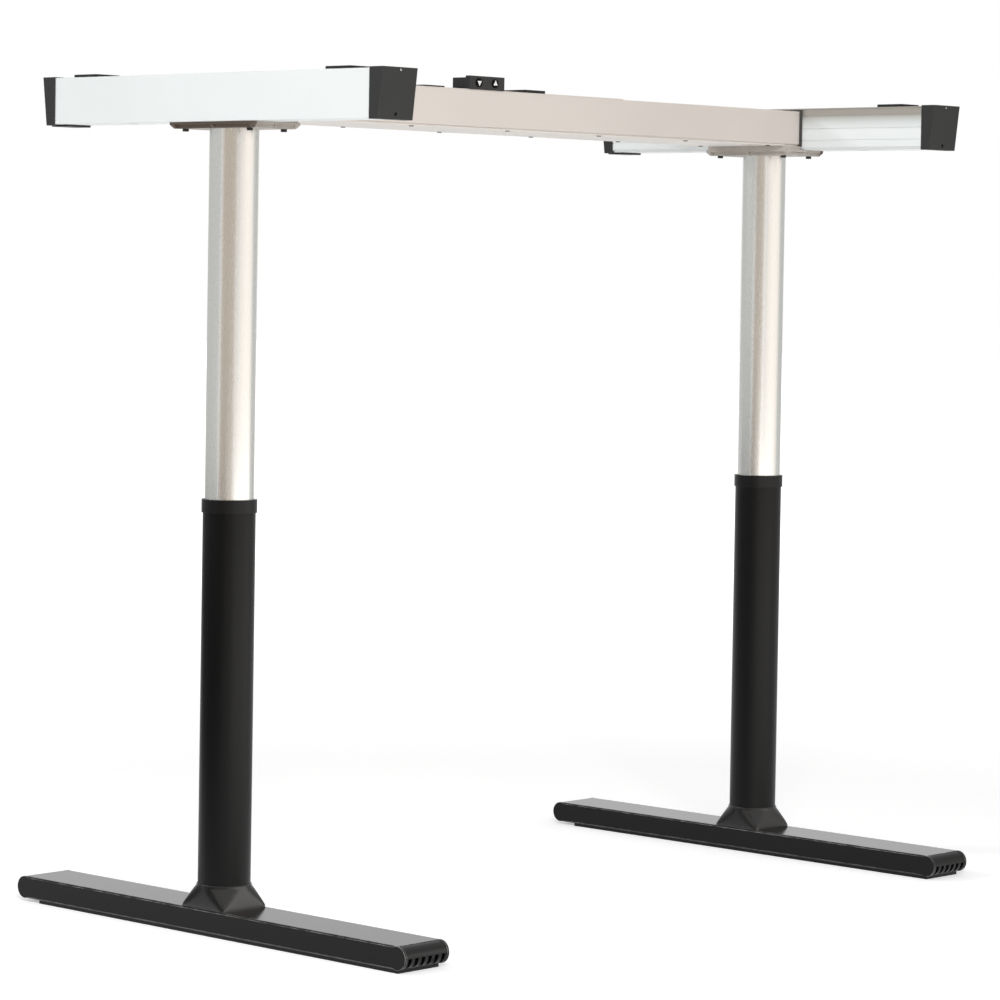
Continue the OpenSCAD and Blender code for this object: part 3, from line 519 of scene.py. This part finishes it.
# The rails' paint carries a painted shade along the top of their inner faces
finishes["rail_white"] = finish("pale_rail_paint", (0.87, 0.90, 0.895), 0.34, gloss=0.4,
                                clouds=3, cloud=0.015, grain=900, depth=0.00001,
                                corner=0.001, edge_wear_and_glint=1.05, extra=painted_band_shade)
finishes["beam_paint"] = finish("beige_beam_paint", (0.70, 0.638, 0.588), 0.38, gloss=0.35,
                                clouds=3, cloud=0.03, grain=900, depth=0.000012,
                                corner=0.001, edge_wear_and_glint=1.12)
finishes["cover_paint"] = finish("beige_cover_paint", (0.82, 0.765, 0.71), 0.42, gloss=0.35,
                                 clouds=3, cloud=0.03, grain=900, depth=0.000012,
                                 edge_wear_and_glint=1.1)

# %% [markdown]
# Every solid came from the CAD model with a plain colour under its material slot's
# name. Swapping each for the finish of the same name dresses the whole frame at once.

# %% Put the finishes on
for name, solid in nodes.items():
    for place in solid.material_slots:
        place.material = finishes[place.material.name.split(".")[0]]
own_finish = {"outer_tube": tube_coat, "gasket": gasket_foam, "button": key_black}
for name, solid in nodes.items():
    for kind in own_finish:
        if name.endswith(kind):
            solid.material_slots[0].material = own_finish[kind]
print("dressed", len(nodes), "solids with", len(finishes), "finishes")

# %% [markdown]
# The skirt that joins a tube to its foot is moulded plastic. It starts round at the
# tube, flares out, and lands on the foot as a square with crisp corners. A hull of a
# circle and a square, as the solid has, shows flat facets. So the visible skirt grows
# from one loop of edges: it is extruded up level by level, and each new loop is folded
# from a square towards a circle, so that the four corners run up in straight lines.

# %% Skirts
RING_CORNERS, SKIRT_LEVELS, SWELL = 96, 14, 1.15
BASE_SQUARENESS, ROUND = 30, 2
PLINTH_HEIGHT, LIP_HEIGHT, LIP_PROUD = 0.0025, 0.003, 0.0018
# The lip's rounded top: how far out from the tube, and how far below the skirt's top
LIP_STEPS = ((LIP_PROUD, 0.0012), (0.0009, 0), (0.0002, 0))


def refold(verts, centre, old, new, squareness, z):
    """Move a loop from the old half sizes to the new, between circle (2) and square."""
    for v in verts:
        x, y = (v.co.x - centre.x) / old[0], (v.co.y - centre.y) / old[1]
        fold = (abs(x) ** squareness + abs(y) ** squareness) ** (1 / squareness)
        v.co = (centre.x + x / fold * new[0], centre.y + y / fold * new[1], z)


def skirt(side):
    """The flaring skirt over the CAD skirt, from its plinth up to its lip."""
    low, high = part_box(side + "_skirt")
    tube_low, tube_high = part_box(side + "_outer_tube")
    tube_radius = (tube_high.x - tube_low.x) / 2
    centre = (low + high) / 2
    half = ((high.x - low.x) / 2, (high.y - low.y) / 2)
    plinth, lip = low.z + PLINTH_HEIGHT, tube_radius + LIP_PROUD
    # How much farther out a loop's corner lies than its side: 1 for a circle
    base_corner = math.sqrt(2) / 2 ** (1 / BASE_SQUARENESS)
    levels = [(half, BASE_SQUARENESS, low.z), (half, BASE_SQUARENESS, plinth)]
    for step in range(1, SKIRT_LEVELS + 1):
        share = step / SKIRT_LEVELS
        swell = 1 - share ** SWELL
        corner = 1 + (base_corner - 1) * swell
        size = tuple(lip + (reach - lip) * swell for reach in half)
        squareness = math.log(2) / math.log(math.sqrt(2) / corner)
        levels.append((size, squareness, plinth + (high.z - LIP_HEIGHT - plinth) * share))
    for proud, drop in LIP_STEPS:
        radius = tube_radius + proud
        levels.append(((radius, radius), ROUND, high.z - drop))
    bm = bmesh.new()
    loop = bmesh.ops.create_circle(bm, segments=RING_CORNERS, radius=1)["verts"]
    bmesh.ops.translate(bm, vec=(centre.x, centre.y, low.z), verts=loop)
    edges, old = list(bm.edges), (1, 1)
    for number, (size, squareness, z) in enumerate(levels):
        if number:
            grown = bmesh.ops.extrude_edge_only(bm, edges=edges)["geom"]
            loop = [g for g in grown if isinstance(g, bmesh.types.BMVert)]
            edges = [g for g in grown if isinstance(g, bmesh.types.BMEdge) and g.is_boundary]
        refold(loop, centre, old, size, squareness, z)
        old = size
    bmesh.ops.recalc_face_normals(bm, faces=bm.faces)
    for face in bm.faces:
        face.smooth = True
    made = new_piece(bm, side + "_skirt_shell", skirt_plastic)
    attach(made, side + "_base")
    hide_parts(side + "_skirt")
    print(made.name, len(made.data.polygons), "faces")


skirt("left")
skirt("right")

# %% [markdown]
# The handset's two buttons carry plain white arrows, printed on the key. Each is a thin
# triangle: a circle of three corners, given a thickness and set a quarter of a
# millimetre proud of the key's front, so that it hardly shows edge on.

# %% Arrows on the buttons
ink = finish("white_ink", (0.86, 0.86, 0.85), 0.45, grain=1500, edge_wear_and_glint=1.0)
ARROW_RADIUS, ARROW_THICK = 0.0051, 0.00025


def arrow(name, button, body, tip_up):
    """A printed triangle on the front of a button, riding with it."""
    low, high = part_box(button)
    centre = (low + high) / 2
    bm = bmesh.new()
    bmesh.ops.create_circle(bm, cap_ends=True, segments=3, radius=ARROW_RADIUS)
    solid = bmesh.ops.extrude_face_region(bm, geom=list(bm.faces))
    lifted = [v for v in solid["geom"] if isinstance(v, bmesh.types.BMVert)]
    bmesh.ops.translate(bm, vec=(0, 0, ARROW_THICK), verts=lifted)
    bmesh.ops.rotate(bm, matrix=Matrix.Rotation(math.pi / 2, 3, "X"), verts=bm.verts)
    if not tip_up:
        bmesh.ops.rotate(bm, matrix=Matrix.Rotation(math.pi, 3, "Y"), verts=bm.verts)
    bmesh.ops.translate(bm, vec=(centre.x, low.y, centre.z), verts=bm.verts)
    bmesh.ops.recalc_face_normals(bm, faces=bm.faces)
    made = new_piece(bm, name, ink)
    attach(made, body)
    print(name, "at", [round(v, 4) for v in centre])


arrow("down_arrow", "down_button", "down_key", False)
arrow("up_arrow", "up_button", "up_key", True)

# %% [markdown]
# Each wedge-shaped end cap is held by a small bright pin near its top edge and by a
# screw near its bottom. Seen from across a room they are only two glints, but they tell
# the eye how the cap comes off. The screws are among the solids. A pin is a cone whose
# two ends are alike, which makes a cylinder, and its outer rim is bevelled round.

# %% Pins on the end caps
PIN_RADIUS, PIN_LENGTH, PIN_ROUNDING = 0.0021, 0.0024, 0.0007
# From the cap's middle inwards, from its face into it, and down from its top
PIN_INWARD, PIN_SUNK, PIN_DOWN = 0.002, 0.0016, 0.0033


def cap_pin(side, end):
    """A domed pin head on the sloping end of a cap; end is -1 near, 1 far."""
    part = f"{side}_{'near' if end < 0 else 'far'}_cap"
    low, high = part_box(part)
    inward = 1 if side == "left" else -1
    bm = bmesh.new()
    bmesh.ops.create_cone(bm, cap_ends=True, segments=24, radius1=PIN_RADIUS,
                          radius2=PIN_RADIUS, depth=PIN_LENGTH)
    rim = [e for e in bm.edges if all(v.co.z > 0 for v in e.verts)]
    bmesh.ops.bevel(bm, geom=rim, affect="EDGES", offset=PIN_ROUNDING, segments=4,
                    profile=0.5, material=-1)
    bmesh.ops.rotate(bm, matrix=Matrix.Rotation(math.pi / 2, 3, "X"), verts=bm.verts)
    if end > 0:
        bmesh.ops.rotate(bm, matrix=Matrix.Rotation(math.pi, 3, "Z"), verts=bm.verts)
    face_y = low.y if end < 0 else high.y
    across = (low.x + high.x) / 2 + inward * PIN_INWARD
    spot = Vector((across, face_y - end * PIN_SUNK, high.z - PIN_DOWN))
    bmesh.ops.translate(bm, vec=spot, verts=bm.verts)
    bmesh.ops.recalc_face_normals(bm, faces=bm.faces)
    made = new_piece(bm, part + "_pin", finishes["steel"])
    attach(made, "top_frame")
    print(made.name, "at", [round(v, 4) for v in spot])


for side in ("left", "right"):
    for end in (-1, 1):
        cap_pin(side, end)
